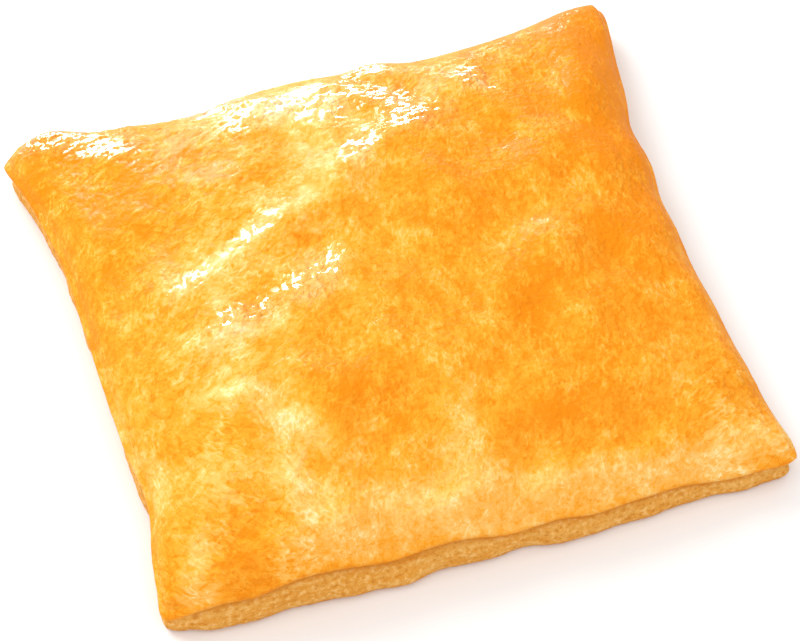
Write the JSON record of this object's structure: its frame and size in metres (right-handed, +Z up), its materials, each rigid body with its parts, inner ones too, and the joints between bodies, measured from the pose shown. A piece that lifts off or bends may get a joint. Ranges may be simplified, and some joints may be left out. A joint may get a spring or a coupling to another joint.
{
  "type": "cheese pastry",
  "caption": "Square pillow of baked puff dough with a glazed, wrinkled top skin over a paler lower layer, sides that sag in and drawn-out corners.",
  "frame": {"origin": "middle of the pastry's box, on the surface it rests on", "axes": "+X along the near side to the right, +Y from the near side to the far side, +Z up out of the top skin"},
  "size_m": [0.1101, 0.103, 0.0231],
  "materials": {
    "glazed_crust": "golden brown glazed crust, satin with wet highlights"
  },
  "bodies": {
    "root": {"pastry": "glazed_crust"}
  },
  "joints": []
}
